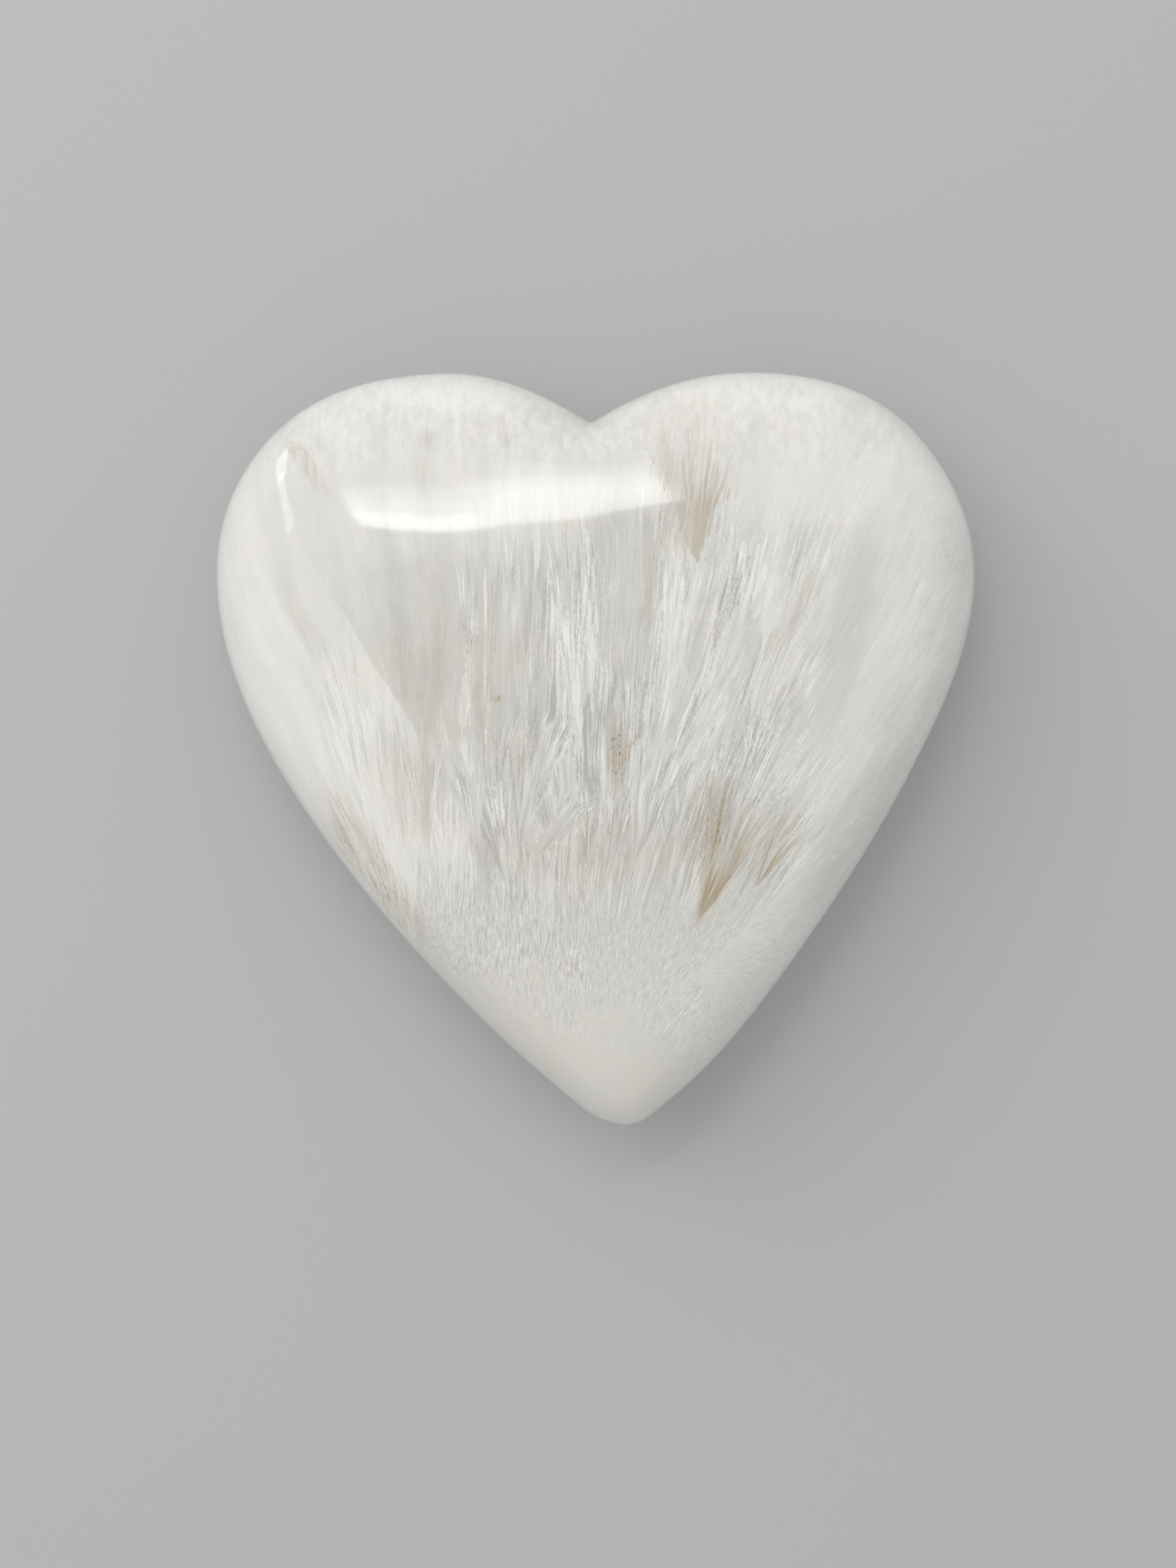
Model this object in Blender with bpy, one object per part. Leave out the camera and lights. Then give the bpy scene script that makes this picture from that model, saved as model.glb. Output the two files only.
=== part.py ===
"""A palm-sized scolecite heart: one solid polished stone, lying on its back.

Metres, +Z up. The origin is on the surface that the stone lies on, under the middle of the stone.
Seen from above, +Y runs from the point to the notch and +X is to the right. The outline is a little
lopsided, as a stone ground by hand is: its point lies to the right of its notch.
"""

import math

import bpy
import numpy as np
from mathutils import Vector
from mathutils.geometry import interpolate_bezier

MM = 0.001

# Thickness of the stone, in metres
FRONT_RISE = 12.5 * MM
BACK_DEPTH = 9.5 * MM

# How far in from the rim each face goes on rolling over, as smoothed distance to the rim
FRONT_ROLL_WIDTH = 7.2 * MM
BACK_ROLL_WIDTH = 6.5 * MM
ROLL_POWER = 2.6

# Share of its height that each face loses from its middle to its rim, before it rolls over
FRONT_CROWN = 0.36
BACK_CROWN = 0.24
# The back is ground flat where it has at least this share of its greatest distance to the rim
BACK_FLAT_FROM = 0.72

# Where the mesh's rings close in on, seen from above
FACE_CENTRE = (0.8 * MM, 6.5 * MM)
FRONT_RINGS = 14
BACK_RINGS = 11
# Over 1 packs the rings towards the rim, where the faces are steepest
RING_PACKING = 1.8
RIM_SPACING = 1.95 * MM
FEWEST_STEPS = 4
# The rim is this much finer where it is used to measure distances
RIM_REFINEMENT = 16

STONE_COLOUR = (0.80, 0.79, 0.76, 1.0)
STONE_ROUGHNESS = 0.12

# The rim, walked anticlockwise from the notch: x and y in millimetres, and heading in degrees
LEFT_LOBE = [
    (-0.4, 32.7, 147),
    (-15.2, 37.7, 182),
    (-31.3, 32.4, 222),
    (-37.9, 18.5, 268),
]
LEFT_FLANK = [
    (-31.7, -2.0, 301),
    (-14.7, -23.7, 314),
]
POINT = [
    (-1.5, -35.8, 321),
    (3.0, -37.7, 356),
    (7.3, -35.4, 398),
]
RIGHT_FLANK = [
    (19.3, -22.0, 414),
    (32.0, -1.7, 423),
]
RIGHT_LOBE = [
    (38.1, 17.5, 450),
    (32.0, 31.9, 493),
    (15.0, 37.8, 541),
    (-0.4, 32.7, 573),
]
RIM_ANCHORS = LEFT_LOBE + LEFT_FLANK + POINT + RIGHT_FLANK + RIGHT_LOBE
# The same rim with its notch filled in, which sets the crown of each face
FILLED_ANCHORS = RIM_ANCHORS[1:-1] + [(-15.2, 37.7, 542)]


def arc_like(start, end, spacing):
    """Points from one anchor up to the next, along the cubic curve nearest to a circular arc."""
    a, b = Vector(start[:2]) * MM, Vector(end[:2]) * MM
    chord = (b - a).length
    turn = math.radians(end[2] - start[2])
    handle = chord / (3 * math.cos(turn / 4) ** 2)
    leaving = Vector((math.cos(math.radians(start[2])), math.sin(math.radians(start[2]))))
    arriving = Vector((math.cos(math.radians(end[2])), math.sin(math.radians(end[2]))))
    steps = max(FEWEST_STEPS, round(chord / spacing))
    curve = interpolate_bezier(a, a + leaving * handle, b - arriving * handle, b, steps + 1)
    return [(p.x, p.y) for p in curve[:-1]]


def closed_line(anchors, spacing):
    """The closed line through the anchors, as an array of points."""
    points = []
    for start, end in zip(anchors, anchors[1:]):
        points += arc_like(start, end, spacing)
    return np.array(points)


def rim_distance(points, line):
    """Distance from each point to a closed line, smoothed so that it has no ridge inside the line.

    It is exact at the line, and on a disc it falls off from the middle as a paraboloid does.
    """
    ahead = np.roll(line, -1, axis=0)
    middle = (line + ahead) / 2
    outward = np.stack([ahead[:, 1] - line[:, 1], line[:, 0] - ahead[:, 0]], axis=1)
    to_line = middle[None] - points[:, None]
    squared = (to_line**2).sum(2)
    pull = ((to_line * outward).sum(2) / squared**2).sum(1)
    return np.sqrt(math.pi / 2 / pull)


def rolled(distance, width):
    """Share of the full height at this distance from the rim: upright at the rim, level at width."""
    left = 1 - np.clip(distance / width, 0, 1)
    return np.sqrt(1 - left**ROLL_POWER)


def front_height(edge, crown):
    """Height of the domed front above the rim."""
    return FRONT_RISE * rolled(edge, FRONT_ROLL_WIDTH) * (1 - FRONT_CROWN * (1 - crown))


def back_height(edge, crown):
    """Height of the back, below the rim, which ends in one flat to lie on."""
    to_flat = 1 - np.clip(crown / BACK_FLAT_FROM, 0, 1)
    return -BACK_DEPTH * rolled(edge, BACK_ROLL_WIDTH) * (1 - BACK_CROWN * to_flat**2)


def face_rings(rim, count, height):
    """The rings of one face, from just inside the rim to its centre, as one array of 3-D points."""
    fine_rim = closed_line(RIM_ANCHORS, RIM_SPACING / RIM_REFINEMENT)
    filled = closed_line(FILLED_ANCHORS, RIM_SPACING / RIM_REFINEMENT)
    centre = np.array(FACE_CENTRE)
    shares = 1 - (np.arange(1, count) / count) ** RING_PACKING
    flat = np.concatenate([centre + share * (rim - centre) for share in shares] + [centre[None]])
    crown = rim_distance(flat, filled)
    level = height(rim_distance(flat, fine_rim), crown / crown.max())
    return np.column_stack([flat, level])


def stitch(rings, centre, size, outer_first):
    """Faces between neighbouring rings of points and, last, the fan to the centre point."""
    faces = []
    for outer, inner in zip(rings, rings[1:]):
        for i in range(size):
            j = (i + 1) % size
            quad = (outer[i], outer[j], inner[j], inner[i])
            faces.append(quad if outer_first else quad[::-1])
    for i in range(size):
        fan = (rings[-1][i], rings[-1][(i + 1) % size], centre)
        faces.append(fan if outer_first else fan[::-1])
    return faces


def heart_mesh():
    """The closed surface of the stone, standing on Z = 0 and centred on the Z axis."""
    rim = closed_line(RIM_ANCHORS, RIM_SPACING)
    size = len(rim)
    front = face_rings(rim, FRONT_RINGS, front_height)
    back = face_rings(rim, BACK_RINGS, back_height)
    points = np.concatenate([np.column_stack([rim, np.zeros(size)]), front, back])
    middle = (points.min(0) + points.max(0)) / 2
    points -= (middle[0], middle[1], points[:, 2].min())

    index = list(range(len(points)))
    first_back = size + len(front)
    front_rings = [index[i : i + size] for i in range(0, first_back - 1, size)]
    back_rings = [index[:size]]
    back_rings += [index[i : i + size] for i in range(first_back, len(points) - 1, size)]
    faces = stitch(front_rings, first_back - 1, size, True)
    faces += stitch(back_rings, len(points) - 1, size, False)

    mesh = bpy.data.meshes.new("heart")
    mesh.from_pydata(points.tolist(), [], faces)
    mesh.validate()
    mesh.shade_smooth()
    return mesh


def stone_material():
    material = bpy.data.materials.new("polished_scolecite")
    material.use_nodes = True
    shader = material.node_tree.nodes["Principled BSDF"]
    shader.inputs["Base Color"].default_value = STONE_COLOUR
    shader.inputs["Roughness"].default_value = STONE_ROUGHNESS
    shader.inputs["Metallic"].default_value = 0.0
    return material


def main():
    for obj in list(bpy.data.objects):
        bpy.data.objects.remove(obj)
    mesh = heart_mesh()
    mesh.materials.append(stone_material())
    heart = bpy.data.objects.new("heart", mesh)
    bpy.context.scene.collection.objects.link(heart)


main()
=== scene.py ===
"""Looks of the scolecite heart: its fine polished surface, its fibrous stone, the light and the camera.

Metres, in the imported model's frame. Lengths inside the stone's pattern are in millimetres, because
its shader works on coordinates that are multiplied by 1000. Headings in the pattern are degrees
clockwise from +Y, seen from above, so that a positive heading leans to the right.
"""

import math
import random
from typing import NamedTuple

import bpy
import numpy as np
from mathutils import Matrix, Vector
from mathutils.geometry import interpolate_bezier


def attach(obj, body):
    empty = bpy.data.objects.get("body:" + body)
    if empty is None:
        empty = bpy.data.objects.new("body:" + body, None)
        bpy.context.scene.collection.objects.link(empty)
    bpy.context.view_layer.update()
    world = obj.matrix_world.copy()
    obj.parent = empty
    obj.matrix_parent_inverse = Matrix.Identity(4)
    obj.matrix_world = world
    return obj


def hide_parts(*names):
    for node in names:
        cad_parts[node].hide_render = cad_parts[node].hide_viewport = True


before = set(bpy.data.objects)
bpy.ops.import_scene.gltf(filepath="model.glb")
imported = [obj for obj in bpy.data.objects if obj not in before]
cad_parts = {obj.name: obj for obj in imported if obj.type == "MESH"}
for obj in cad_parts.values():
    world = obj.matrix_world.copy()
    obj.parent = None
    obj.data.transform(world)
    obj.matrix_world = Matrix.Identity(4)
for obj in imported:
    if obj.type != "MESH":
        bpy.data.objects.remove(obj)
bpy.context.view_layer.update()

MM = 0.001

# The stone's form, as the solid has it
FRONT_RISE = 12.5 * MM
BACK_DEPTH = 9.5 * MM
FRONT_ROLL_WIDTH = 7.2 * MM
BACK_ROLL_WIDTH = 6.5 * MM
ROLL_POWER = 2.6
FRONT_CROWN = 0.36
BACK_CROWN = 0.24
BACK_FLAT_FROM = 0.72
FACE_CENTRE = (0.8 * MM, 6.5 * MM)
LEFT_LOBE = [
    (-0.4, 32.7, 147),
    (-15.2, 37.7, 182),
    (-31.3, 32.4, 222),
    (-37.9, 18.5, 268),
]
LEFT_FLANK = [
    (-31.7, -2.0, 301),
    (-14.7, -23.7, 314),
]
POINT = [
    (-1.5, -35.8, 321),
    (3.0, -37.7, 356),
    (7.3, -35.4, 398),
]
RIGHT_FLANK = [
    (19.3, -22.0, 414),
    (32.0, -1.7, 423),
]
RIGHT_LOBE = [
    (38.1, 17.5, 450),
    (32.0, 31.9, 493),
    (15.0, 37.8, 541),
    (-0.4, 32.7, 573),
]
RIM_ANCHORS = LEFT_LOBE + LEFT_FLANK + POINT + RIGHT_FLANK + RIGHT_LOBE
FILLED_ANCHORS = RIM_ANCHORS[1:-1] + [(-15.2, 37.7, 542)]

# The fine mesh: points along the rim, rings on each face, and how they pack towards the rim
RIM_SPACING = 0.42 * MM
RINGS = 66
RING_PACKING = 1.6
FEWEST_STEPS = 4
# Rings nearer to the rim than this need a finer line to measure from
NEAR_RIM = 1.0 * MM
NEAR_REFINEMENT = 8
POINTS_AT_ONCE = 4000
# How far to each side of a point its slope is measured
SLOPE_STEP = 0.4 * MM

# Hand polishing leaves the dome faintly wavy: wave length, heading, height and phase of each wave
WAVES = [
    (17.0 * MM, 30.0, 0.032 * MM, 5.2),
    (12.5 * MM, 115.0, 0.006 * MM, 5.1),
    (9.0 * MM, 155.0, 0.003 * MM, 0.8),
]

# The photograph's view: straight down on the stone, whose rim lies in the plane of the scale
PHOTO_SIZE = (1445, 1927)
PIXELS_PER_MM = 12.2
STONE_CENTRE_IN_PHOTO = (731.7, 920.4)
CAMERA_DISTANCE = 230 * MM
CAMERA_NEAREST = 10 * MM
SENSOR_HEIGHT = 36.0

# The bright band reflected on the front, in mm: its ends and its parts, each with the shares of the
# band's width where it starts and ends, its lower and its upper edge, and its radiance
WINDOW_DISTANCE = 0.5
WINDOW_ENDS = ((-24.5, 23.1), (5.9, 24.9))
WINDOW_PARTS = {
    "window_low_left": (0.02, 0.55, 21.2, 23.0, 3.4),
    "window_middle": (0.03, 1.02, 21.2, 24.4, 1.8),
    "window_haze": (0.06, 1.03, 21.2, 25.6, 2.2),
    "window_low_right": (0.63, 1.0, 21.2, 24.4, 1.5),
    "window_haze_middle": (0.55, 0.68, 21.2, 26.2, 1.4),
    "window_haze_right": (0.68, 1.05, 21.2, 27.2, 1.4),
}
# The two parts of the long narrow reflection at the left rim: their ends and their sides
SIDE_WINDOWS = {
    "side_window_low": ((-29.3, 21.3), (-30.5, 26.6), (-29.7, 24.0), (-30.5, 24.0)),
    "side_window_high": ((-30.6, 25.8), (-30.4, 30.2), (-30.0, 28.0), (-31.1, 28.0)),
}
SIDE_WINDOW_RADIANCE = 2.8

# Soft light from all sides, and one large lamp whose own reflection isn't seen
ROOM_COLOUR = (0.97, 0.985, 1.0, 1)
ROOM_STRENGTH = 0.68
KEY_PLACE = (-0.32, 0.30, 0.42)
KEY_TARGET = (0, 0, 0.01)
KEY_SIZE = (0.70, 0.70)
KEY_RADIANCE = 0.735
KEY_COLOUR = (1.0, 0.985, 0.965)

FLOOR_HALF_WIDTH = 2.0
FLOOR_DROP = 0.05 * MM
FLOOR_COLOUR = (0.52, 0.525, 0.525, 1)

STONE_PIECE = "heart_stone"


def arc_like(start, end, spacing):
    """Points from one anchor up to the next, along the cubic curve nearest to a circular arc."""
    a, b = Vector(start[:2]) * MM, Vector(end[:2]) * MM
    chord = (b - a).length
    turn = math.radians(end[2] - start[2])
    handle = chord / (3 * math.cos(turn / 4) ** 2)
    leaving = Vector((math.cos(math.radians(start[2])), math.sin(math.radians(start[2]))))
    arriving = Vector((math.cos(math.radians(end[2])), math.sin(math.radians(end[2]))))
    steps = max(FEWEST_STEPS, round(chord / spacing))
    curve = interpolate_bezier(a, a + leaving * handle, b - arriving * handle, b, steps + 1)
    return [(p.x, p.y) for p in curve[:-1]]


def closed_line(anchors, spacing):
    """The closed line through the anchors, as an array of points."""
    points = []
    for start, end in zip(anchors, anchors[1:]):
        points += arc_like(start, end, spacing)
    return np.array(points)


def rim_distance(points, line):
    """Distance from each point to a closed line, smoothed so that it has no ridge inside the line."""
    ahead = np.roll(line, -1, axis=0)
    middle = (line + ahead) / 2
    outward = np.stack([ahead[:, 1] - line[:, 1], line[:, 0] - ahead[:, 0]], axis=1)
    found = []
    for first in range(0, len(points), POINTS_AT_ONCE):
        to_line = middle[None] - points[first : first + POINTS_AT_ONCE, None]
        squared = (to_line**2).sum(2)
        pull = ((to_line * outward).sum(2) / squared**2).sum(1)
        found.append(np.sqrt(math.pi / 2 / pull))
    return np.concatenate(found)


def rolled(distance, width):
    """Share of the full height at this distance from the rim: upright at the rim, level at width."""
    left = 1 - np.clip(distance / width, 0, 1)
    return np.sqrt(1 - left**ROLL_POWER)


def waves(flat):
    """How far the polished dome stands above or below its even form."""
    total = np.zeros(len(flat))
    for length, heading, height, phase in WAVES:
        across = flat @ (math.sin(math.radians(heading)), math.cos(math.radians(heading)))
        total += height * np.sin(2 * math.pi * across / length + phase)
    return total


class Form:
    """The stone's surface, as heights above Z = 0 over the points that its anchors are given in."""

    def __init__(self):
        self.rim = closed_line(RIM_ANCHORS, RIM_SPACING)
        self.middle = (self.rim.min(0) + self.rim.max(0)) / 2
        self.filled = closed_line(FILLED_ANCHORS, RIM_SPACING)
        self.fine_rim = closed_line(RIM_ANCHORS, RIM_SPACING / NEAR_REFINEMENT)
        self.greatest = rim_distance(np.array([FACE_CENTRE]), self.filled)[0]

    def measure(self, flat):
        """(distance to the rim, share of the greatest distance to the filled rim) at each point."""
        edge = rim_distance(flat, self.rim)
        near = edge < NEAR_RIM
        if near.any():
            edge[near] = rim_distance(flat[near], self.fine_rim)
        return edge, rim_distance(flat, self.filled) / self.greatest

    def dome(self, crown):
        """Height of the front over the rim's plane, if it didn't roll over at the rim."""
        return FRONT_RISE * (1 - FRONT_CROWN * (1 - crown))

    def front(self, flat, edge, crown):
        return BACK_DEPTH + rolled(edge, FRONT_ROLL_WIDTH) * (self.dome(crown) + waves(flat))

    def back(self, edge, crown):
        to_flat = 1 - np.clip(crown / BACK_FLAT_FROM, 0, 1)
        depth = BACK_DEPTH * rolled(edge, BACK_ROLL_WIDTH) * (1 - BACK_CROWN * to_flat**2)
        return BACK_DEPTH - depth

    def front_point(self, x, y):
        """The point of the front over x and y, counted from the stone's middle, and its normal."""
        step = SLOPE_STEP
        around = [(x, y), (x - step, y), (x + step, y), (x, y - step), (x, y + step)]
        flat = np.array(around) + self.middle
        z = self.front(flat, *self.measure(flat))
        normal = Vector(((z[1] - z[2]) / (2 * step), (z[3] - z[4]) / (2 * step), 1)).normalized()
        return Vector((x, y, z[0])), normal


def stone_mesh(form):
    """The fine closed surface, with how deep each point lies under the dome, in mm, as "depth"."""
    centre = np.array(FACE_CENTRE)
    size = len(form.rim)
    shares = 1 - (np.arange(1, RINGS) / RINGS) ** RING_PACKING
    rings = [centre + share * (form.rim - centre) for share in shares]
    flat = np.concatenate(rings + [centre[None]])
    edge, crown = form.measure(flat)
    front = np.column_stack([flat, form.front(flat, edge, crown)])
    back = np.column_stack([flat, form.back(edge, crown)])
    rim = np.column_stack([form.rim, np.full(size, BACK_DEPTH)])
    points = np.concatenate([rim, front, back])
    points[:, :2] -= form.middle
    rim_crown = np.zeros(size)
    dome = BACK_DEPTH + form.dome(np.concatenate([rim_crown, crown, crown]))
    depth = (dome - points[:, 2]) / MM

    order = np.arange(size)
    after = np.roll(order, -1)
    faces = []
    for first, upper in ((size, True), (size + len(front), False)):
        starts = [0] + [first + size * i for i in range(RINGS - 1)]
        for outer, inner in zip(starts, starts[1:]):
            quads = np.stack([outer + order, outer + after, inner + after, inner + order], axis=1)
            faces += (quads if upper else quads[:, ::-1]).tolist()
        centre_point = np.full(size, first + len(front) - 1)
        fan = np.stack([starts[-1] + order, starts[-1] + after, centre_point], axis=1)
        faces += (fan if upper else fan[:, ::-1]).tolist()

    mesh = bpy.data.meshes.new(STONE_PIECE)
    mesh.from_pydata(points.tolist(), [], faces)
    mesh.shade_smooth()
    layer = mesh.attributes.new("depth", "FLOAT", "POINT")
    layer.data.foreach_set("value", depth.astype(np.float32))
    return mesh


class Graph:
    """A material's nodes. Each call adds some and returns the output, or outputs, of the last."""

    MIX_SOCKETS = {"FLOAT": (2, 3, 0), "VECTOR": (4, 5, 1), "RGBA": (6, 7, 2)}

    def __init__(self, tree):
        self.tree = tree

    def add(self, kind, inputs, output=0, **settings):
        node = self.tree.nodes.new(kind)
        for name, value in settings.items():
            setattr(node, name, value)
        for key, value in inputs.items():
            if isinstance(value, bpy.types.NodeSocket):
                self.tree.links.new(value, node.inputs[key])
            else:
                node.inputs[key].default_value = value
        return node.outputs[output]

    def math(self, operation, *values, clamp=False):
        inputs = dict(enumerate(values))
        return self.add("ShaderNodeMath", inputs, operation=operation, use_clamp=clamp)

    def vector(self, operation, *values):
        output = 1 if operation in ("DOT_PRODUCT", "LENGTH", "DISTANCE") else 0
        return self.add("ShaderNodeVectorMath", dict(enumerate(values)), output, operation=operation)

    def scaled(self, vector, across, under, along):
        """Coordinates counted in cells of this size, in mm."""
        return self.vector("MULTIPLY", vector, (1 / across, 1 / under, 1 / along))

    def join(self, x, y, z):
        return self.add("ShaderNodeCombineXYZ", {0: x, 1: y, 2: z})

    def split(self, vector):
        return self.add("ShaderNodeSeparateXYZ", {0: vector}).node.outputs

    def mix(self, kind, factor, a, b, **settings):
        first, second, output = self.MIX_SOCKETS[kind]
        inputs = {0: factor, first: a, second: b}
        return self.add("ShaderNodeMix", inputs, output, data_type=kind, **settings)

    def smooth(self, value, low, high):
        """0 at low and beyond it, 1 at high and beyond it, with a soft step between them."""
        inputs = {"Value": value, "From Min": low, "From Max": high, "To Min": 0.0, "To Max": 1.0}
        return self.add("ShaderNodeMapRange", inputs, interpolation_type="SMOOTHSTEP")

    def noise(self, vector, detail=2.0, roughness=0.55):
        inputs = {"Vector": vector, "Scale": 1.0, "Detail": detail, "Roughness": roughness}
        return self.add("ShaderNodeTexNoise", inputs, noise_dimensions="3D")

    def noise_line(self, value, detail=2.0, roughness=0.6):
        inputs = {"W": value, "Scale": 1.0, "Detail": detail, "Roughness": roughness}
        return self.add("ShaderNodeTexNoise", inputs, noise_dimensions="1D")

    def cells(self, vector):
        """Three chance values from 0 to 1 for each cell of a crisp mosaic."""
        mosaic = self.add("ShaderNodeTexVoronoi", {"Vector": vector, "Scale": 1.0}, 1)
        return self.split(mosaic)

    def swing(self, value, amount):
        """A noise value turned into a swing of about plus or minus half the amount round 0."""
        return self.math("MULTIPLY_ADD", value, amount, -amount / 2)

    def total(self, *values):
        result = values[0]
        for value in values[1:]:
            result = self.math("ADD", result, value)
        return result


class Spray(NamedTuple):
    """A fan of fibres that shows in front of its neighbours."""

    x: float  # where its sides meet
    y: float
    heading: float
    spread: float  # half of its opening, in degrees
    reach: float  # length of its fibres
    white: float  # 0 where the stone is clear and grey, 1 where it is opaque white
    blades: float = 0.6  # how much its bundles of fibres differ
    fibres: float = 1.0  # how strongly its single fibres show
    stain: float = 0.0
    ragged: float = 0.4  # share of its reach by which its tips differ
    fade: float = 0.5  # share of its reach over which it fades into what lies behind
    rough: float = 0.6  # share of its spread by which its sides differ
    grain: tuple = None  # where its fibres point to, if that isn't where its sides meet


class Spot(NamedTuple):
    """A soft oval area of one look, drawn out along its heading."""

    x: float
    y: float
    heading: float
    half_length: float
    half_width: float
    white: float
    blades: float = 0.6
    fibres: float = 1.0
    softness: float = 0.5
    ragged: float = 0.5


class Stain(NamedTuple):
    """A soft oval area where the stone is stained along its fibres."""

    x: float
    y: float
    heading: float
    half_length: float
    half_width: float
    strength: float
    softness: float = 0.8
    ragged: float = 0.8
    specks: float = 0.0  # how many dark specks it has


# The main fibres run up from this short line near the stone's point and spread over the front
MAIN_LINE_LEFT = -14.0
MAIN_LINE_RIGHT = -1.0
MAIN_LINE_Y = -39.3
MAIN_LOOK = (0.475, 0.9, 1.5)
# Where the fibres of the right half point to
MAIN_FOCUS = (-1.0, -39.3)
# At this distance from where they meet, in mm, the main fibres are as wide as the pattern says
MAIN_TRUE_WIDTH = 45
# The same for the fibres of a spray with a grain, and of one without, as a share of its reach
GRAIN_TRUE_WIDTH = 36
TRUE_WIDTH_SHARE = 0.6
FARTHEST_TRUE_WIDTH = 45

# The look of the back, where the stone is whiter and more even, and the depths under the dome, in
# mm, from which on the stone has that look and up to which it has the front's
BACK_LOOK = (0.62, 0.35, 0.35)
BACK_LOOK_DEPTH = 8.0
FRONT_LOOK_DEPTH = 4.0

# How far neighbouring fibres bend together, in mm, in how many steps per mm, and how far the main
# fibres waver to each side, as a whole swing in mm
BEND = 2.4
BEND_SCALE = 0.05
TILT_SWING = 0.8
# How the tips and sides of a spray are torn: the width of a tip, in mm, how far the tips differ, as
# a multiple of the spray's own share, and the angles over which its sides fade, in radians
TIP_WIDTH = 0.4
TIP_SWING = 3
SIDE_EDGE = (-0.004, 0.012)
# The pattern of each layer lies this far, in mm, under that of the one before
SEED_STEP = 17.0

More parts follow.
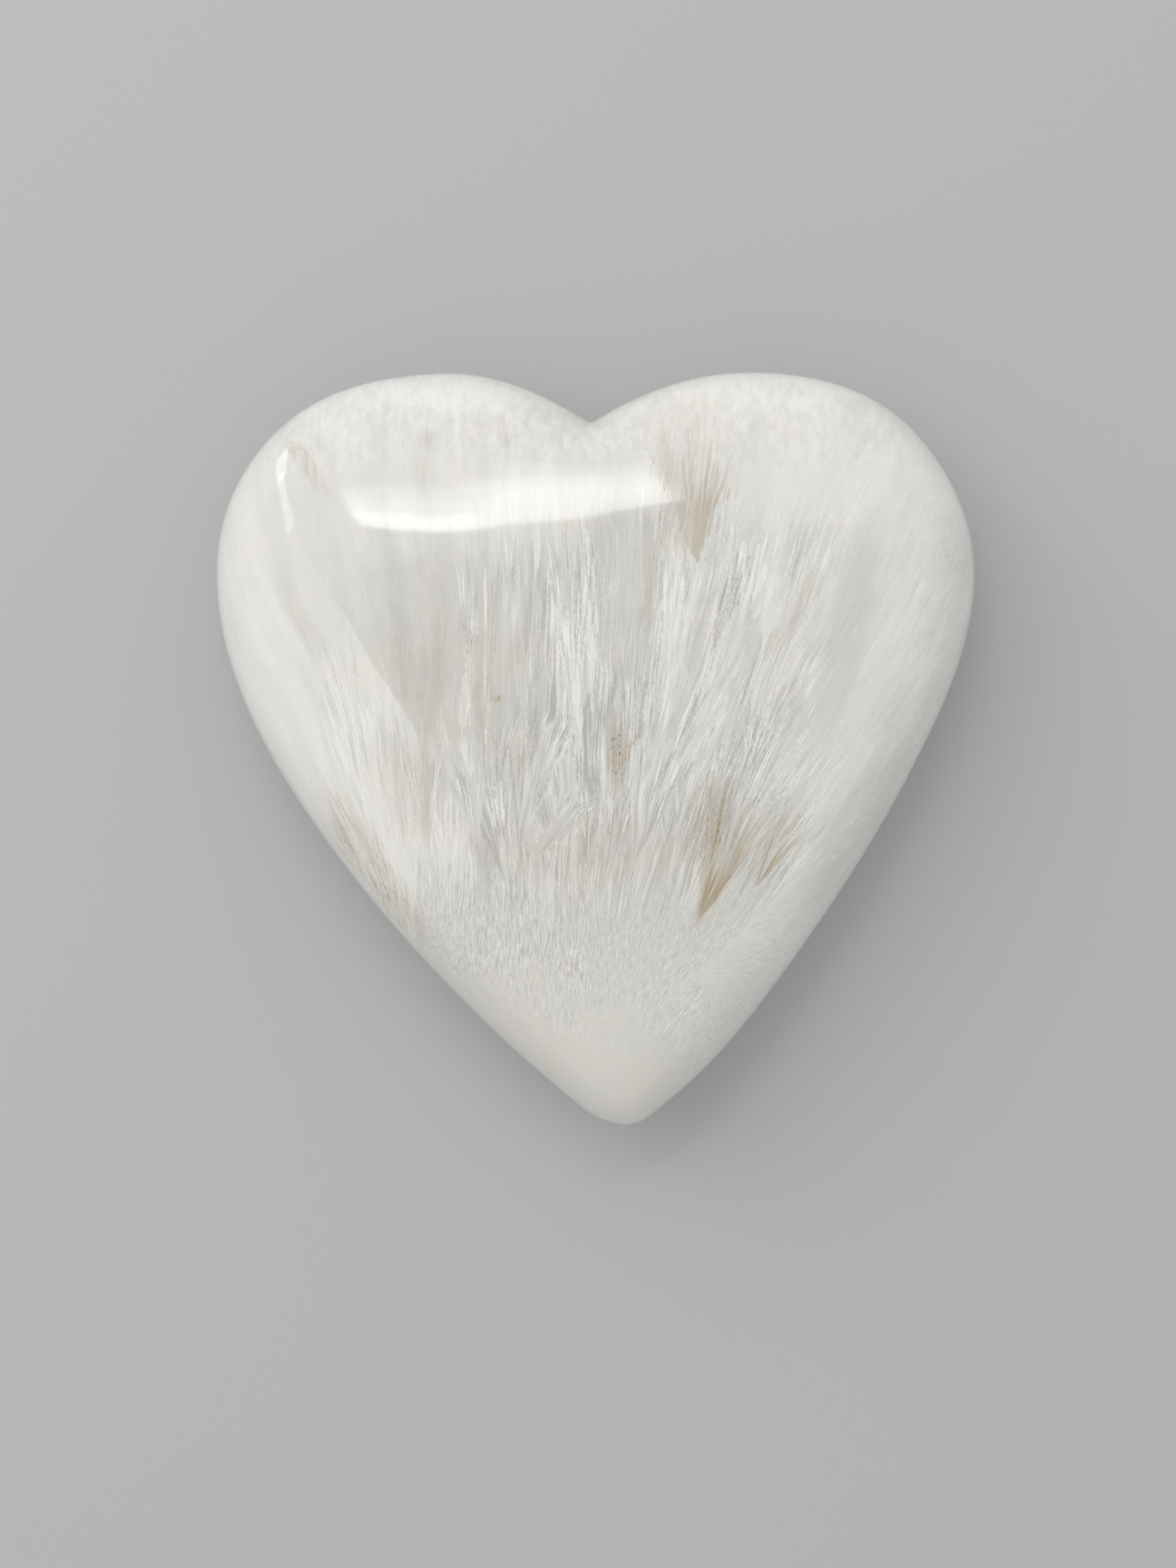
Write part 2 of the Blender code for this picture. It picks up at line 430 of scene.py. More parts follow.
# The areas and sprays of the front, from the lowest to the one that lies over all others
LAYERS = {
    "white_upper": Spot(-14, 24, 82, 19, 8, 0.63, 0.3, 0.25, 0.8, 0.4),
    "right_fan": Spray(6.1, -3, 31, 31, 70, 0.58, 0.7, 0.9, 0.0, 0.0, 0.15, 0.15, MAIN_FOCUS),
    "white_right_outer": Spot(33, 9, 15, 33, 12, 0.70, 0.3, 0.3, 0.8, 0.3),
    "clear_middle": Spot(-6, 6, 0, 12, 8.0, 0.39, 1.3, 1.0, 0.8, 0.6),
    "clear_window": Spot(-16.5, 9.5, -18, 13, 9.0, 0.42, 0.15, 0.08, 0.9, 0.15),
    "white_under_window": Spot(-18.5, 21.3, 85, 8.5, 3.2, 0.60, 0.15, 0.15, 0.9, 0.2),
    "clear_flame_gap": Spot(3.0, 16.0, 0, 10.0, 3.3, 0.39, 0.4, 0.5, 0.2, 0.7),
    "white_bundle_right": Spray(6.1, -0.8, 7, 6, 19, 0.68, 0.8, 1.0, 0.0, 0.4, 0.3, 0.6),
    "white_streak_left": Spray(-12.6, -5.0, 0, 3.6, 22, 0.66, 1.2, 1.2, 0.0, 0.5, 0.2, 0.9),
    "white_streak_near": Spray(-10.6, -3.0, 1, 2.4, 17, 0.58, 1.2, 1.2, 0.0, 0.6, 0.2, 0.9),
    "mottled_top": Spot(-8, 32, 90, 30, 8.5, 0.75, 0.1, 0.12, 0.8, 0.3),
    "mottled_top_right": Spot(22, 31, 98, 21, 10, 0.80, 0.1, 0.15, 0.8, 0.3),
    # Painted light: the four rim spots below whiten the upper rim, which is lit from above, so that it
    # stays bright where it rolls over
    "painted_light_rim_left": Spot(-31.5, 28.5, 40, 8, 3.0, 0.88, 0.1, 0.1, 1.0, 0.3),
    "painted_light_rim_top": Spot(-14, 35.5, 93, 17, 2.6, 0.95, 0.1, 0.12, 1.0, 0.3),
    "painted_light_rim_top_right": Spot(18, 35.5, 93, 13, 2.6, 0.95, 0.1, 0.12, 1.0, 0.3),
    "painted_light_rim_right": Spot(32.5, 28.5, -40, 8, 3.0, 0.90, 0.1, 0.1, 1.0, 0.3),
    "grey_smear_right": Spot(23.6, 11.0, 14, 10.5, 1.8, 0.50, 0.2, 0.3, 0.8, 0.5),
    "left_satin": Spray(-16.9, 0.8, -105, 73.5, 70, 0.80, 0.15, 0.08, 0.0, 0.0, 0.1, 0.0, (-17, -24)),
    "white_upper_left": Spot(-28.0, 22.5, -10, 12, 5.5, 0.68, 0.1, 0.1, 1.2, 0.2),
    "grey_strip_left": Spot(-26.6, 8.4, -28, 9, 1.5, 0.58, 0.2, 0.2, 0.9, 0.3),
    "white_strip_left": Spot(-29.6, 11.4, -27, 8, 0.6, 0.82, 0.1, 0.1, 1.0, 0.4),
    "white_low_left": Spot(-20, -2, -30, 12, 4.0, 0.82, 0.7, 0.8, 0.8, 0.5),
    "white_low": Spot(8, -22, 60, 13, 6, 0.52, 0.5, 0.8, 1.0, 0.5),
    "left_root": Spray(-16.1, -10.2, -3, 13, 13, 0.60, 0.9, 1.3, 0.1),
    "needles_left": Spray(-11.4, -10.2, -8, 13, 12, 0.50, 1.0, 1.4),
    "blades_mid": Spray(-7.5, -9.9, 14, 11, 12.5, 0.36, 1.3, 1.1),
    "needles_mid": Spray(-6.7, -11.9, 33, 12, 8, 0.48, 0.6, 1.0),
    "blade_long": Spray(3.1, -12.3, 15, 14, 20, 0.54, 1.2, 1.0),
    "beige_flame": Spray(9.7, 17.8, 0, 23, 12, 0.46, 0.4, 0.35, 0.37, 0.4, 0.7, 0.9, MAIN_FOCUS),
    "brown_wedge": Spray(9.7, -16.5, 24, 19, 14, 0.42, 1.0, 1.3, 0.74, 0.6, 0.9),
    "brown_notch": Spray(15.3, -13.6, 32, 15, 9.5, 0.46, 0.8, 1.1, 0.60, 0.6, 0.9),
    "right_low": Spray(10.5, -21.3, 110, 65, 45, 0.66, 0.2, 0.25, 0.0, 0.1, 0.3, 0.0),
    # Partly the stone's own grey strip, partly painted shade where the lower right rim turns away from
    # the light
    "grey_and_shade_rim_right": Spot(25.5, -6.5, 30, 9, 2.5, 0.52, 0.2, 0.3, 0.9, 0.4),
    "white_tip_right": Spot(10.5, -29, 30, 9, 5, 0.58, 0.2, 0.25, 1.1, 0.4),
    "white_spike": Spray(2.7, -2.0, 1, 4.5, 10, 0.62, 1.0, 1.2),
    "spike_down": Spray(-1.6, -1.7, -3, 6.5, 18, 0.68, 0.9, 1.2),
}

# Small sprays whose places, headings and sizes are drawn by chance, in a band across the stone
SMALL_SPRAYS = 12
FIRST_SMALL_SPRAY = 23
SMALL_SPRAYS_SEED = 4
SMALL_SPRAYS_X = (-15.0, 19.0)
SMALL_SPRAYS_Y = (-15.5, -1.0)
SMALL_SPRAYS_REACH = (5.0, 10.0)
SMALL_SPRAYS_SPREAD = (8.0, 15.0)
# Their headings lean to the right by this many degrees per mm that they lie to the right, and are
# turned by chance by up to this many degrees
SMALL_SPRAYS_LEAN = 1.2
SMALL_SPRAYS_TURN = 16
SMALL_SPRAYS_WHITE = (0.40, 0.58)
# Their blades, fibres, stain, ragged, fade and rough
SMALL_SPRAYS_LOOK = (1.1, 1.7, 0.0, 0.6, 0.6, 0.9)

STAINS = {
    "beige_haze": Stain(8.8, 27.4, 20, 6.5, 5.5, 0.21, 1.5, 0.6),
    "beige_streak": Stain(4.9, 17.2, 1, 5.0, 0.5, 0.35, 1.0, 1.2, 0.1),
    "brown_specks": Stain(2.2, -0.6, 4, 3.3, 0.9, 0.48, 1.4, 2.2, 1.0),
    "brown_specks_side": Stain(3.6, 0.6, 30, 1.8, 0.4, 0.25, 1.4, 2.0, 0.9),
    "speck_left": Stain(-9.6, 4.6, 80, 0.6, 0.3, 0.5, 0.8, 0.5, 1.0),
    "khaki_streak_left": Stain(-10.2, 11.0, 1, 4.5, 0.5, 0.25, 1.5, 2.5, 0.2),
    "khaki_streak_mid": Stain(-6.6, 9.5, 1, 4.0, 0.4, 0.25, 1.5, 2.5, 0.3),
    "khaki_band": Stain(-1.0, -9.5, 90, 14.0, 3.0, 0.15, 1.5, 3.5, 0.3),
    "brown_root": Stain(10.9, -14.3, 22, 3.2, 1.0, 0.50, 1.2, 0.8, 0.3),
    "brown_notch_root": Stain(16.9, -10.3, 22, 4.0, 1.3, 0.24, 1.3, 1.2, 0.3),
    "brown_mottle": Stain(11.2, -7.0, 15, 3.2, 2.0, 0.38, 1.4, 2.0, 0.6),
    "tan_root_left": Stain(-23.2, -9.8, -28, 6.0, 1.8, 0.46, 1.3, 1.5, 0.3),
    "tan_root_low": Stain(-19.0, -15.6, -30, 3.4, 1.3, 0.45, 1.4, 1.5, 0.3),
    "beige_window": Stain(-15.0, 5.5, -20, 7.5, 5.0, 0.27, 1.5, 0.5),
    "tan_streak_rim_left": Stain(-28.2, 27.8, -39, 3.8, 0.8, 0.32, 1.0, 1.0),
    "tan_streak_top_left": Stain(-16.2, 28.0, 4, 3.5, 1.0, 0.24, 1.3, 1.2),
    "tan_streak_top": Stain(-8.5, 29.8, 0, 3.0, 0.5, 0.25, 1.2, 1.2),
    "tan_streak_right": Stain(18.2, 12.4, 30, 4.2, 0.7, 0.32, 1.2, 1.2),
    "tan_speck_right": Stain(34.2, 18.9, -40, 0.7, 0.3, 0.5, 1.0, 0.5),
    "khaki_left": Stain(-18.2, -3.4, -20, 4.5, 3.2, 0.26, 1.4, 2.0, 0.3),
}

# Sizes in mm, across, under and along the fibres, of the cells of the pattern's noises and mosaics
TILT_CELL = (3.5, 5.0, 9.0)
UNEVEN_CELL = (0.5, 1.0, 7.0)
TORN_CELL = (0.2, 0.4, 4.0)
BROAD_CELL = (2.4, 3.0, 24.0)
FIBRE_CELL = (0.9, 1.2, 14.0)
SPLINTER_CELL = (0.17, 0.25, 4.5)
GRIT_CELL = (0.13, 0.2, 0.45)
BLADE_CELL = (1.1, 1.6, 7.5)
SMALL_BLADE_CELL = (0.38, 0.6, 4.5)
GRAIN_CELL = (0.16, 0.3, 1.3)
# The same along X, Y and Z, for the mottles and patches, which don't follow the fibres
MOTTLE_CELL = (0.8, 1.8, 1.0)
PATCH_CELL = (5.0, 5.0, 5.0)
# Fibres this wide, in mm, are moved lengthwise against each other by up to half of this, in mm
SHIFT_WIDTH = 0.5
BLADE_SHIFT = 5.0

# How far each part of the pattern swings the stone between clear, at 0, and white, at 1
BROAD_SWING = 0.35
FIBRE_SWING = 1.0
SPLINTER_SWING = 1.5
GRIT_SWING = 0.9
BLADE_SWING = 0.30
SMALL_BLADE_SWING = 0.38
MOTTLE_SWING = 0.7
GRAIN_SWING = 2.4
PATCH_SWING = 0.17
# The whitest splinters stand out as needles
NEEDLES_FROM_TO = (0.58, 0.74)
NEEDLE_WHITE = 0.25
# How strongly a bundle shows its fibres: times its chance value, plus a share that all have
BLADE_CONTRAST = (1.1, 0.3)

# Above this line, and in this clear area, the fibres are seen as mottling
MOTTLED_FROM = (0.0, 26.5)
MOTTLED_EDGE = (-1.5, 3.0)
MOTTLED_WINDOW_SHARE = 0.45
MOTTLED_WINDOW = Spot(-16.5, 10.5, -18, 13, 8.0, 0.34, softness=0.9, ragged=0.15)
# Below this line the fibres are cut across, first as short grains and then too fine to see
GRAINS_FROM = (0.0, -12.5)
GRAINS_HEADING = 184.0
GRAINS_RAGGED = 12.0
GRAINS_EDGE = (-3.0, 7.0)
# Below this line the stone is an even cream
CREAM_FROM = (-2.6, -26.0)
CREAM_HEADING = 202.0
CREAM_RAGGED = 4.0
CREAM_PATCHY = 10.0
CREAM_EDGE = (-5.0, 5.0)
# How much of a stain shows: times how much of a streak its fibre is, plus a share everywhere
STREAKS_FROM_TO = (0.38, 0.66)
STREAK_CONTRAST = (1.1, 0.08)
STAIN_SPLINTERS = 0.4
SPECKS_FROM_TO = (0.56, 0.66)

CLEAR_COLOUR = (0.505, 0.498, 0.455, 1)
WHITE_COLOUR = (0.905, 0.90, 0.86, 1)
CREAM_COLOUR = (0.755, 0.735, 0.68, 1)
STAIN_COLOUR = (0.47, 0.365, 0.23, 1)
SPECK_COLOUR = (0.30, 0.20, 0.10, 1)
COOL_TINT = (1.003, 0.998, 1.015, 1)
WARM_TINT = (1.01, 0.985, 0.95, 1)
# Where the stone lies between its cool tint, at 0, and its warm one, at 1, and how far that swings
MIDDLE_TINT = 0.45
TINT_BY_PATCH = 2.0
TINT_BY_BUNDLE = 0.15


def ahead_of(heading):
    return Vector((math.sin(math.radians(heading)), math.cos(math.radians(heading)), 0.0))


def aside_of(heading):
    return Vector((math.cos(math.radians(heading)), -math.sin(math.radians(heading)), 0.0))


def main_coordinates(g, flat, deep):
    """Coordinates across, under and along the main fibres."""
    x, y, _ = g.split(flat)
    start = g.math("MINIMUM", g.math("MAXIMUM", x, MAIN_LINE_LEFT), MAIN_LINE_RIGHT)
    aside = g.math("SUBTRACT", x, start)
    ahead = g.math("SUBTRACT", y, MAIN_LINE_Y)
    angle = g.math("ARCTAN2", aside, ahead)
    radius = g.vector("LENGTH", g.join(aside, ahead, 0.0))
    return g.join(g.math("MULTIPLY_ADD", angle, MAIN_TRUE_WIDTH, start), deep, radius)


def fan_coordinates(g, flat, deep, focus, heading, width_at):
    """(coordinates across, under and along the fibres of a fan, its angle, its radius)."""
    away = g.vector("SUBTRACT", flat, (focus[0], focus[1], 0.0))
    ahead = g.vector("DOT_PRODUCT", away, ahead_of(heading))
    aside = g.vector("DOT_PRODUCT", away, aside_of(heading))
    angle = g.math("ARCTAN2", aside, ahead)
    radius = g.vector("LENGTH", away)
    return g.join(g.math("MULTIPLY", angle, width_at), deep, radius), angle, radius


def distance_past(g, flat, start, heading):
    """How far each point lies beyond a straight line through start, at right angles to heading."""
    away = g.vector("SUBTRACT", flat, (start[0], start[1], 0.0))
    return g.vector("DOT_PRODUCT", away, ahead_of(heading))


def inside_oval(g, flat, uneven, oval):
    """1 in the middle of a soft oval, 0 outside it, with ends as uneven as its fibres."""
    away = g.vector("SUBTRACT", flat, (oval.x, oval.y, 0.0))
    lengthwise = g.vector("DOT_PRODUCT", away, ahead_of(oval.heading) / oval.half_length)
    crosswise = g.vector("DOT_PRODUCT", away, aside_of(oval.heading) / oval.half_width)
    squared = g.math("MULTIPLY_ADD", crosswise, crosswise, g.math("MULTIPLY", lengthwise, lengthwise))
    distance = g.math("MULTIPLY_ADD", uneven, oval.ragged, g.math("SQRT", squared))
    middle = 1 + oval.ragged / 2
    return g.smooth(distance, middle + oval.softness / 2, middle - oval.softness / 2)


def spray_mask(g, angle, radius, uneven, near_front, spray, seed):
    """(1 inside a spray with ragged tips, the same but fading towards the tips)."""
    left = g.math("SUBTRACT", spray.reach, radius)
    if spray.ragged:
        span = spray.reach * spray.ragged
        tips = g.math("MULTIPLY_ADD", angle, spray.reach / TIP_WIDTH, seed)
        left = g.math("ADD", left, g.swing(g.noise_line(tips, 2.0, 0.8), span * TIP_SWING))
    spread = math.radians(spray.spread)
    side = g.math("MULTIPLY_ADD", uneven, spread * spray.rough * 2, spread * (1 - spray.rough))
    beside = g.math("SUBTRACT", side, g.math("ABSOLUTE", angle))
    crisp = g.math("GREATER_THAN", g.math("MINIMUM", left, beside), 0.0)
    within = g.math("MULTIPLY", g.smooth(beside, *SIDE_EDGE), near_front)
    return crisp, g.math("MULTIPLY", g.smooth(left, 0.0, spray.reach * spray.fade), within)


def small_sprays():
    """Sprays for the band where many short ones overlap."""
    chance = random.Random(SMALL_SPRAYS_SEED)
    sprays = []
    for number in range(SMALL_SPRAYS):
        low, high = SMALL_SPRAYS_X
        x = low + (high - low) * (number + chance.random()) / SMALL_SPRAYS
        y = chance.uniform(*SMALL_SPRAYS_Y)
        heading = max(0.0, x) * SMALL_SPRAYS_LEAN
        heading += chance.uniform(-SMALL_SPRAYS_TURN, SMALL_SPRAYS_TURN)
        reach = chance.uniform(*SMALL_SPRAYS_REACH)
        spread = chance.uniform(*SMALL_SPRAYS_SPREAD)
        white = chance.uniform(*SMALL_SPRAYS_WHITE)
        sprays.append(Spray(x, y, heading, spread, reach, white, *SMALL_SPRAYS_LOOK))
    return sprays


def fibre_shift(g, coordinates, amount):
    """The same coordinates, with neighbouring fibres moved lengthwise against each other."""
    across = g.vector("MULTIPLY", coordinates, (1 / SHIFT_WIDTH, 1 / SHIFT_WIDTH, 0.0))
    shift = g.swing(g.noise(across, 3.0, 0.7), amount)
    return g.vector("ADD", coordinates, g.join(0.0, 0.0, shift))


def bent(g, point):
    """The point as seen from above, moved a little, so that neighbouring fibres bend together."""
    bend = g.add("ShaderNodeTexNoise", {"Vector": point, "Scale": BEND_SCALE, "Detail": 3.0}, "Color")
    bend = g.vector("MULTIPLY", g.vector("SUBTRACT", bend, (0.5, 0.5, 0.5)), (BEND, BEND, 0.0))
    return g.vector("ADD", g.vector("MULTIPLY", point, (1.0, 1.0, 0.0)), bend)


class Pattern:
    """The stone's pattern: where each point lies in its spray of fibres, and how it looks there."""

    def __init__(self, g):
        self.g = g
        place = g.add("ShaderNodeTexCoord", {}, "Object")
        self.point = g.vector("MULTIPLY", place, (1 / MM, 1 / MM, 1 / MM))
        self.flat = bent(g, self.point)
        self.deep = g.add("ShaderNodeAttribute", {}, "Fac", attribute_name="depth")
        self.near_front = g.smooth(self.deep, BACK_LOOK_DEPTH, FRONT_LOOK_DEPTH)

        main = main_coordinates(g, self.flat, self.deep)
        tilt = g.noise(g.scaled(main, *TILT_CELL), 1.0, 0.6)
        self.coordinates = g.vector("ADD", main, g.join(g.swing(tilt, TILT_SWING), 0.0, 0.0))
        self.uneven = g.noise(g.scaled(self.coordinates, *UNEVEN_CELL), 3.0, 0.8)
        self.torn = g.noise(g.scaled(self.coordinates, *TORN_CELL), 1.0, 0.7)
        self.look = g.mix("VECTOR", self.near_front, BACK_LOOK, MAIN_LOOK)
        self.stain = 0.0
        self.add_layers()
        self.measure_fibres()

    def add_layers(self):
        """Lays the areas and sprays over one another. Each spray has a seed of its own."""
        layers = list(LAYERS.values())
        layers[FIRST_SMALL_SPRAY:FIRST_SMALL_SPRAY] = small_sprays()
        for number, layer in enumerate(layers):
            if isinstance(layer, Spot):
                self.add_spot(layer)
            else:
                self.add_spray(layer, SEED_STEP * (number + 1))

    def add_spot(self, spot):
        shown = (spot.white, spot.blades, spot.fibres)
        self.look = self.g.mix("VECTOR", self.on_front(spot), self.look, shown)

    def add_spray(self, spray, seed):
        g = self.g
        under = g.math("ADD", self.deep, seed)
        apex = (spray.x, spray.y)
        width_at = min(spray.reach * TRUE_WIDTH_SHARE, FARTHEST_TRUE_WIDTH)
        own, angle, radius = fan_coordinates(g, self.flat, under, apex, spray.heading, width_at)
        if spray.grain:
            own, _, _ = fan_coordinates(
                g, self.flat, under, spray.grain, spray.heading, GRAIN_TRUE_WIDTH
            )
        crisp, soft = spray_mask(g, angle, radius, self.torn, self.near_front, spray, seed)
        shown = (spray.white, spray.blades, spray.fibres)
        self.look = g.mix("VECTOR", soft, self.look, shown)
        self.coordinates = g.mix("VECTOR", crisp, self.coordinates, own)
        if spray.stain:
            self.stain = g.math("MULTIPLY_ADD", soft, spray.stain, self.stain)

    def on_front(self, oval):
        """How far each point of the front lies inside a soft oval; 0 on the back."""
        inside = inside_oval(self.g, self.flat, self.uneven, oval)
        return self.g.math("MULTIPLY", inside, self.near_front)

    def measure_fibres(self):
        """The noises and mosaics that follow the fibres of each spray, and the patches that don't."""
        g = self.g
        self.fibres = g.noise(g.scaled(self.coordinates, *FIBRE_CELL), 3.0, 0.85)
        self.splinters = g.noise(g.scaled(self.coordinates, *SPLINTER_CELL), 1.0, 0.8)
        self.grit = g.noise(g.scaled(self.coordinates, *GRIT_CELL), 1.0, 0.7)
        self.patches = g.noise(g.scaled(self.point, *PATCH_CELL), 3.0, 0.65)
        jagged = fibre_shift(g, self.coordinates, BLADE_SHIFT)
        self.blades = g.cells(g.scaled(jagged, *BLADE_CELL))
        self.small_blades = g.cells(g.scaled(jagged, *SMALL_BLADE_CELL))

    def fibre_texture(self):
        """How much whiter or clearer than its area each fibre and each bundle of fibres is."""
        g = self.g
        _, blade_share, fibre_share = g.split(self.look)
        fine = g.total(
            g.swing(self.fibres, FIBRE_SWING),
            g.swing(self.splinters, SPLINTER_SWING),
            g.swing(self.grit, GRIT_SWING),
            g.math("MULTIPLY", g.smooth(self.splinters, *NEEDLES_FROM_TO), NEEDLE_WHITE),
        )
        fine = g.math("MULTIPLY", fine, g.math("MULTIPLY_ADD", self.blades[1], *BLADE_CONTRAST))
        fine = g.math("MULTIPLY", fine, fibre_share)
        large = g.swing(self.blades[0], BLADE_SWING)
        bundles = g.total(large, g.swing(self.small_blades[0], SMALL_BLADE_SWING))
        broad = g.noise(g.scaled(self.coordinates, *BROAD_CELL), 1.0, 0.5)
        texture = g.math("MULTIPLY_ADD", bundles, blade_share, fine)
        return g.math("ADD", texture, g.swing(broad, BROAD_SWING))

    def mottled(self, texture):
        """The texture, mottled where the fibres are seen nearly end on."""
        g = self.g
        mottles = g.noise(g.scaled(self.flat, *MOTTLE_CELL), 2.0, 0.65)
        top = g.smooth(distance_past(g, self.flat, MOTTLED_FROM, 0), *MOTTLED_EDGE)
        window = inside_oval(g, self.flat, self.uneven, MOTTLED_WINDOW)
        share = g.math("MAXIMUM", top, g.math("MULTIPLY", window, MOTTLED_WINDOW_SHARE))
        share = g.math("MULTIPLY", share, self.near_front)
        return g.math("MULTIPLY_ADD", share, g.swing(mottles, MOTTLE_SWING), texture)

    def cut_across(self, texture):
        """The texture, but short grains where the fibres are cut across, near the stone's point."""
        g = self.g
        grains = g.noise(g.scaled(self.coordinates, *GRAIN_CELL), 2.0, 0.8)
        beyond = distance_past(g, self.flat, GRAINS_FROM, GRAINS_HEADING)
        beyond = g.math("ADD", beyond, g.swing(self.uneven, GRAINS_RAGGED))
        return g.mix("FLOAT", g.smooth(beyond, *GRAINS_EDGE), texture, g.swing(grains, GRAIN_SWING))

    def plain_colour(self, texture):
        """The stone's colour without tints and stains: clear, white, or cream at its point."""
        g = self.g
        area = g.split(self.look)[0]
        white = g.total(area, texture, g.swing(self.patches, PATCH_SWING))
        white = g.math("ADD", white, 0.0, clamp=True)
        colour = g.mix("RGBA", white, CLEAR_COLOUR, WHITE_COLOUR)
        beyond = distance_past(g, self.flat, CREAM_FROM, CREAM_HEADING)
        ragged = g.swing(self.uneven, CREAM_RAGGED)
        beyond = g.total(beyond, ragged, g.swing(self.patches, CREAM_PATCHY))
        return g.mix("RGBA", g.smooth(beyond, *CREAM_EDGE), colour, CREAM_COLOUR)

    def tinted(self, colour):
        """The colour, a little warmer in some patches and bundles than in others."""
        g = self.g
        by_bundle = g.swing(self.small_blades[2], TINT_BY_BUNDLE)
        warm = g.total(g.swing(self.patches, TINT_BY_PATCH), by_bundle, MIDDLE_TINT)
        tint = g.mix("RGBA", g.math("MAXIMUM", warm, 0.0, clamp=True), COOL_TINT, WARM_TINT)
        return g.mix("RGBA", 1.0, colour, tint, blend_type="MULTIPLY")

    def stained(self, colour):
        """The colour, with stains that follow the fibres and with dark specks."""
        g = self.g
        stain = self.stain
        speckled = 0.0
        for spot in STAINS.values():
            factor = self.on_front(spot)
            stain = g.math("MULTIPLY_ADD", factor, spot.strength, stain)
            if spot.specks:
                speckled = g.math("MULTIPLY_ADD", factor, spot.specks, speckled)
        streaks = g.math("ADD", self.fibres, g.swing(self.splinters, STAIN_SPLINTERS))
        streaks = g.smooth(streaks, *STREAKS_FROM_TO)
        streaks = g.math("MULTIPLY_ADD", streaks, *STREAK_CONTRAST)
        colour = g.mix("RGBA", g.math("MULTIPLY", stain, streaks, clamp=True), colour, STAIN_COLOUR)
        specks = g.math("MULTIPLY", g.smooth(self.grit, *SPECKS_FROM_TO), speckled, clamp=True)
        return g.mix("RGBA", specks, colour, SPECK_COLOUR)


def stone_material():
    """White scolecite: overlapping sprays of fibres, clear in places, stained in others, polished."""
    material = bpy.data.materials.new("polished_scolecite")
    material.use_nodes = True
    pattern = Pattern(Graph(material.node_tree))
    texture = pattern.cut_across(pattern.mottled(pattern.fibre_texture()))
    colour = pattern.stained(pattern.tinted(pattern.plain_colour(texture)))
    shader = material.node_tree.nodes["Principled BSDF"]
    material.node_tree.links.new(colour, shader.inputs["Base Color"])
    shader.inputs["Roughness"].default_value = 0.055
    shader.inputs["IOR"].default_value = 1.51
    shader.inputs["Subsurface Weight"].default_value = 0.3
    shader.inputs["Subsurface Radius"].default_value = (1.0, 0.95, 0.85)
    shader.inputs["Subsurface Scale"].default_value = 0.8 * MM
    return material


def build_stone(form):
    mesh = stone_mesh(form)
    mesh.materials.append(stone_material())
    stone = bpy.data.objects.new(STONE_PIECE, mesh)
    bpy.context.scene.collection.objects.link(stone)
    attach(stone, "root")
    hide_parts("heart")
    return stone


def floor_material():
    material = bpy.data.materials.new("pale_floor")
    material.use_nodes = True
    shader = material.node_tree.nodes["Principled BSDF"]
    shader.inputs["Base Color"].default_value = FLOOR_COLOUR
    shader.inputs["Roughness"].default_value = 0.7
    shader.inputs["Specular IOR Level"].default_value = 0.2
    return material


def build_floor():
    half = FLOOR_HALF_WIDTH
    mesh = bpy.data.meshes.new("floor")
    corners = [(-half, -half, 0), (half, -half, 0), (half, half, 0), (-half, half, 0)]
    mesh.from_pydata(corners, [], [(0, 1, 2, 3)])
    mesh.materials.append(floor_material())
    floor = bpy.data.objects.new("floor", mesh)
    floor.location.z = -FLOOR_DROP
    bpy.context.scene.collection.objects.link(floor)


def build_camera():
    """Looks straight down, so that the stone is as large and lies where the photograph shows it."""
    wide, high = PHOTO_SIZE
    metres_per_pixel = MM / PIXELS_PER_MM
    data = bpy.data.cameras.new("camera")
    data.sensor_width = SENSOR_HEIGHT
    data.lens = SENSOR_HEIGHT * CAMERA_DISTANCE / (high * metres_per_pixel)
    data.clip_start = CAMERA_NEAREST
    camera = bpy.data.objects.new("camera", data)
    x = (wide / 2 - STONE_CENTRE_IN_PHOTO[0]) * metres_per_pixel
    y = (STONE_CENTRE_IN_PHOTO[1] - high / 2) * metres_per_pixel
    camera.location = (x, y, BACK_DEPTH + CAMERA_DISTANCE)
    bpy.context.scene.collection.objects.link(camera)
    bpy.context.scene.camera = camera
    return camera


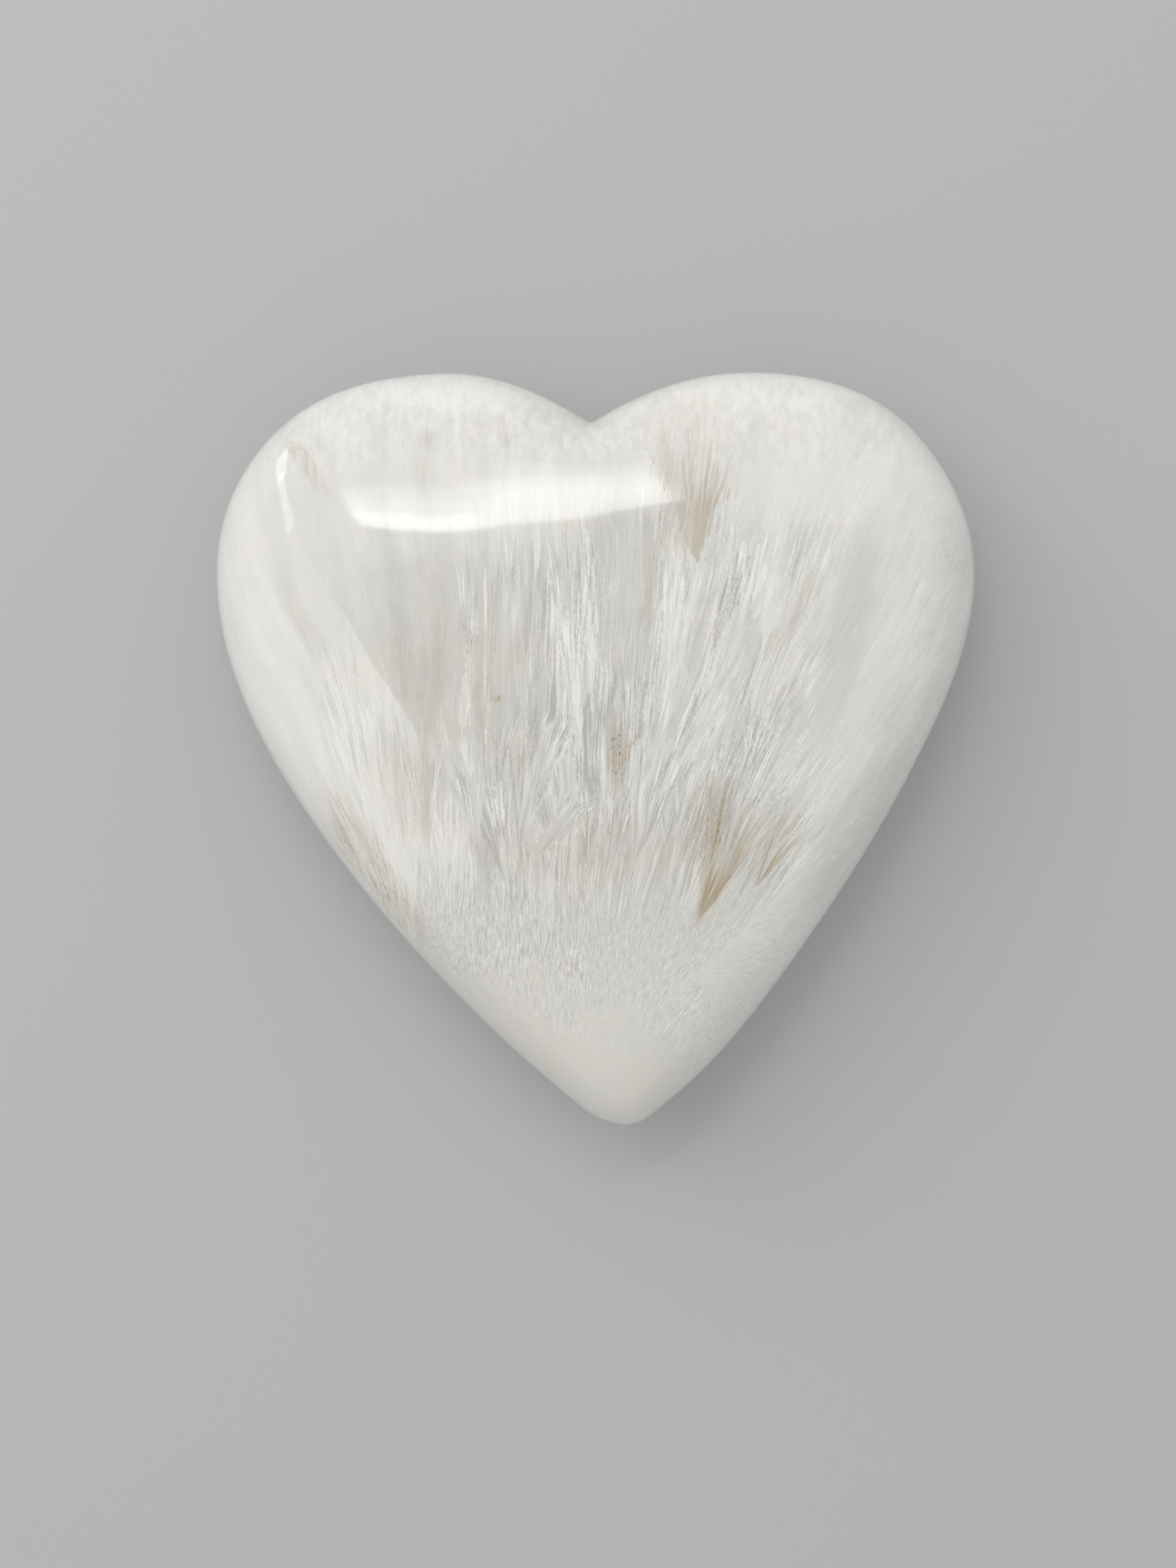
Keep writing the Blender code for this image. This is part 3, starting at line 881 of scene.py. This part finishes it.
def area_light(name, position, target, size, radiance, colour=(1, 1, 1), up=(0, 0, 1)):
    """A rectangular lamp, width along the axis at right angles to up, that faces its target."""
    data = bpy.data.lights.new(name, "AREA")
    data.shape = "RECTANGLE"
    data.size, data.size_y = size
    data.energy = radiance * size[0] * size[1] * math.pi
    data.color = colour
    lamp = bpy.data.objects.new(name, data)
    back = (Vector(position) - Vector(target)).normalized()
    right = Vector(up).cross(back).normalized()
    turn = Matrix((right, back.cross(right), back)).transposed()
    lamp.matrix_world = Matrix.Translation(position) @ turn.to_4x4()
    bpy.context.scene.collection.objects.link(lamp)
    return lamp


def reflected(form, camera, spot):
    """A spot of the polished front, given in mm, and the way the camera's ray is reflected there."""
    point, normal = form.front_point(spot[0] * MM, spot[1] * MM)
    seen = (point - camera.location).normalized()
    return point, seen.reflect(normal)


def window_light(name, form, camera, spots, radiance, start=0.0, end=1.0):
    """A lamp whose reflection reaches to four spots of the front, in mm: two ends and two sides.

    It covers the share of the way between its ends that lies from start to end.
    """
    rays = [reflected(form, camera, spot) for spot in spots]
    middle = sum((point for point, _ in rays), Vector()) / len(rays)
    back = sum((heading for _, heading in rays), Vector()).normalized()
    plane = middle + back * WINDOW_DISTANCE
    first, second, low, high = (
        point + heading * ((plane - point).dot(back) / heading.dot(back)) for point, heading in rays
    )
    width = (second - first).length * (end - start)
    up = back.cross((second - first).normalized())
    offset = ((low + high - first - second) / 2).dot(up)
    centre = first.lerp(second, (start + end) / 2) + up * offset
    size = (width, abs((high - low).dot(up)))
    area_light(name, centre, centre - back, size, radiance, up=up)


def build_lights(form, camera):
    world = bpy.data.worlds.new("soft_room")
    world.use_nodes = True
    background = world.node_tree.nodes["Background"]
    background.inputs["Color"].default_value = ROOM_COLOUR
    background.inputs["Strength"].default_value = ROOM_STRENGTH
    bpy.context.scene.world = world
    key = area_light("soft_key", KEY_PLACE, KEY_TARGET, KEY_SIZE, KEY_RADIANCE, KEY_COLOUR)
    key.visible_glossy = False
    middle = (WINDOW_ENDS[0][0] + WINDOW_ENDS[1][0]) / 2
    for name, (start, end, low, high, radiance) in WINDOW_PARTS.items():
        spots = (*WINDOW_ENDS, (middle, low), (middle, high))
        window_light(name, form, camera, spots, radiance, start, end)
    for name, spots in SIDE_WINDOWS.items():
        window_light(name, form, camera, spots, SIDE_WINDOW_RADIANCE)


def set_view():
    settings = bpy.context.scene.view_settings
    settings.view_transform = "Standard"
    settings.look = "None"


form = Form()
build_stone(form)
build_floor()
camera = build_camera()
build_lights(form, camera)
set_view()
